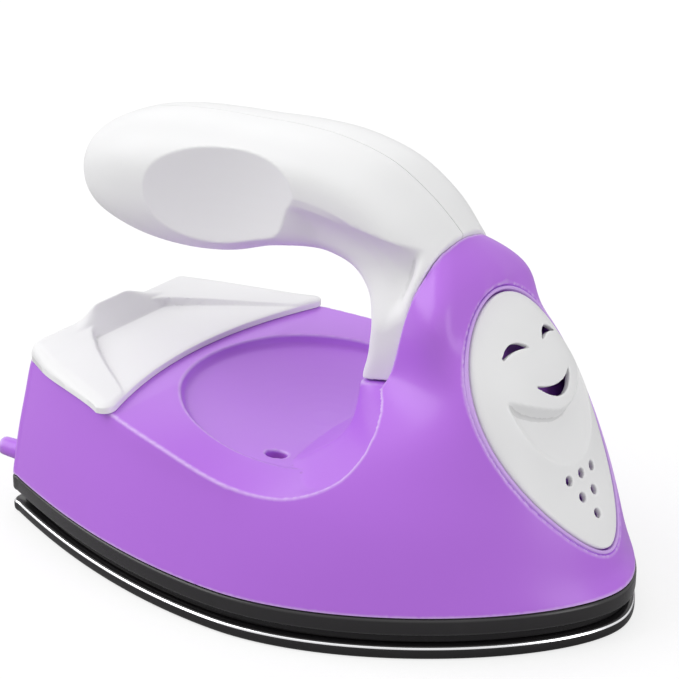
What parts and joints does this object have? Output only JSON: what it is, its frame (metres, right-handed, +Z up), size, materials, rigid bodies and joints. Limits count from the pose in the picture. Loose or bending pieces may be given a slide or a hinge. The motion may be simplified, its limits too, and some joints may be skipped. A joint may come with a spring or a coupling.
{
  "type": "mini craft iron",
  "caption": "Small craft iron with a teardrop soleplate, a purple housing with a finger dish, an arched white handle and a white face plate with smile cut-outs.",
  "frame": {"origin": "centre of the sole's flat face", "axes": "+X towards the nose, +Y to the user's left, +Z up"},
  "size_m": [0.126, 0.085, 0.0801],
  "materials": {
    "purple_body": "satin, moulded",
    "white_plastic": "satin, moulded",
    "black_skirt": "satin, heat resistant",
    "coated_sole": "smooth non-stick coating on cast aluminium",
    "steel": "plain",
    "brass": "plain",
    "ceramic": "matt ceramic",
    "mica": "matt mica sheet",
    "board": "green laminate",
    "lamp_lens": "clear red",
    "lead_sleeve": "braided sleeve"
  },
  "bodies": {
    "root": {"soleplate": "coated_sole", "heat_skirt": "black_skirt", "housing": "purple_body", "rear_cover": "white_plastic", "handle_right_shell": "white_plastic", "handle_left_shell": "white_plastic", "face_plate": "white_plastic", "indicator_lens": "lamp_lens", "indicator_led": "lamp_lens", "control_board": "board", "contact_block": "black_skirt", "contact_pin_left": "brass", "contact_pin_right": "brass", "ptc_heater": "ceramic", "heater_insulation": "mica", "heater_clamp": "steel", "clamp_screw_front": "steel", "clamp_screw_rear": "steel", "thermal_fuse": "steel", "lead_live": "lead_sleeve", "lead_neutral": "lead_sleeve", "lead_heater": "lead_sleeve", "sole_screw_front": "steel", "sole_screw_left": "steel", "sole_screw_right": "steel", "housing_screw_left": "steel", "housing_screw_right": "steel", "handle_screw_rear": "steel", "handle_screw_front": "steel", "fixing_screw_left": "steel", "fixing_screw_right": "steel"}
  },
  "joints": []
}
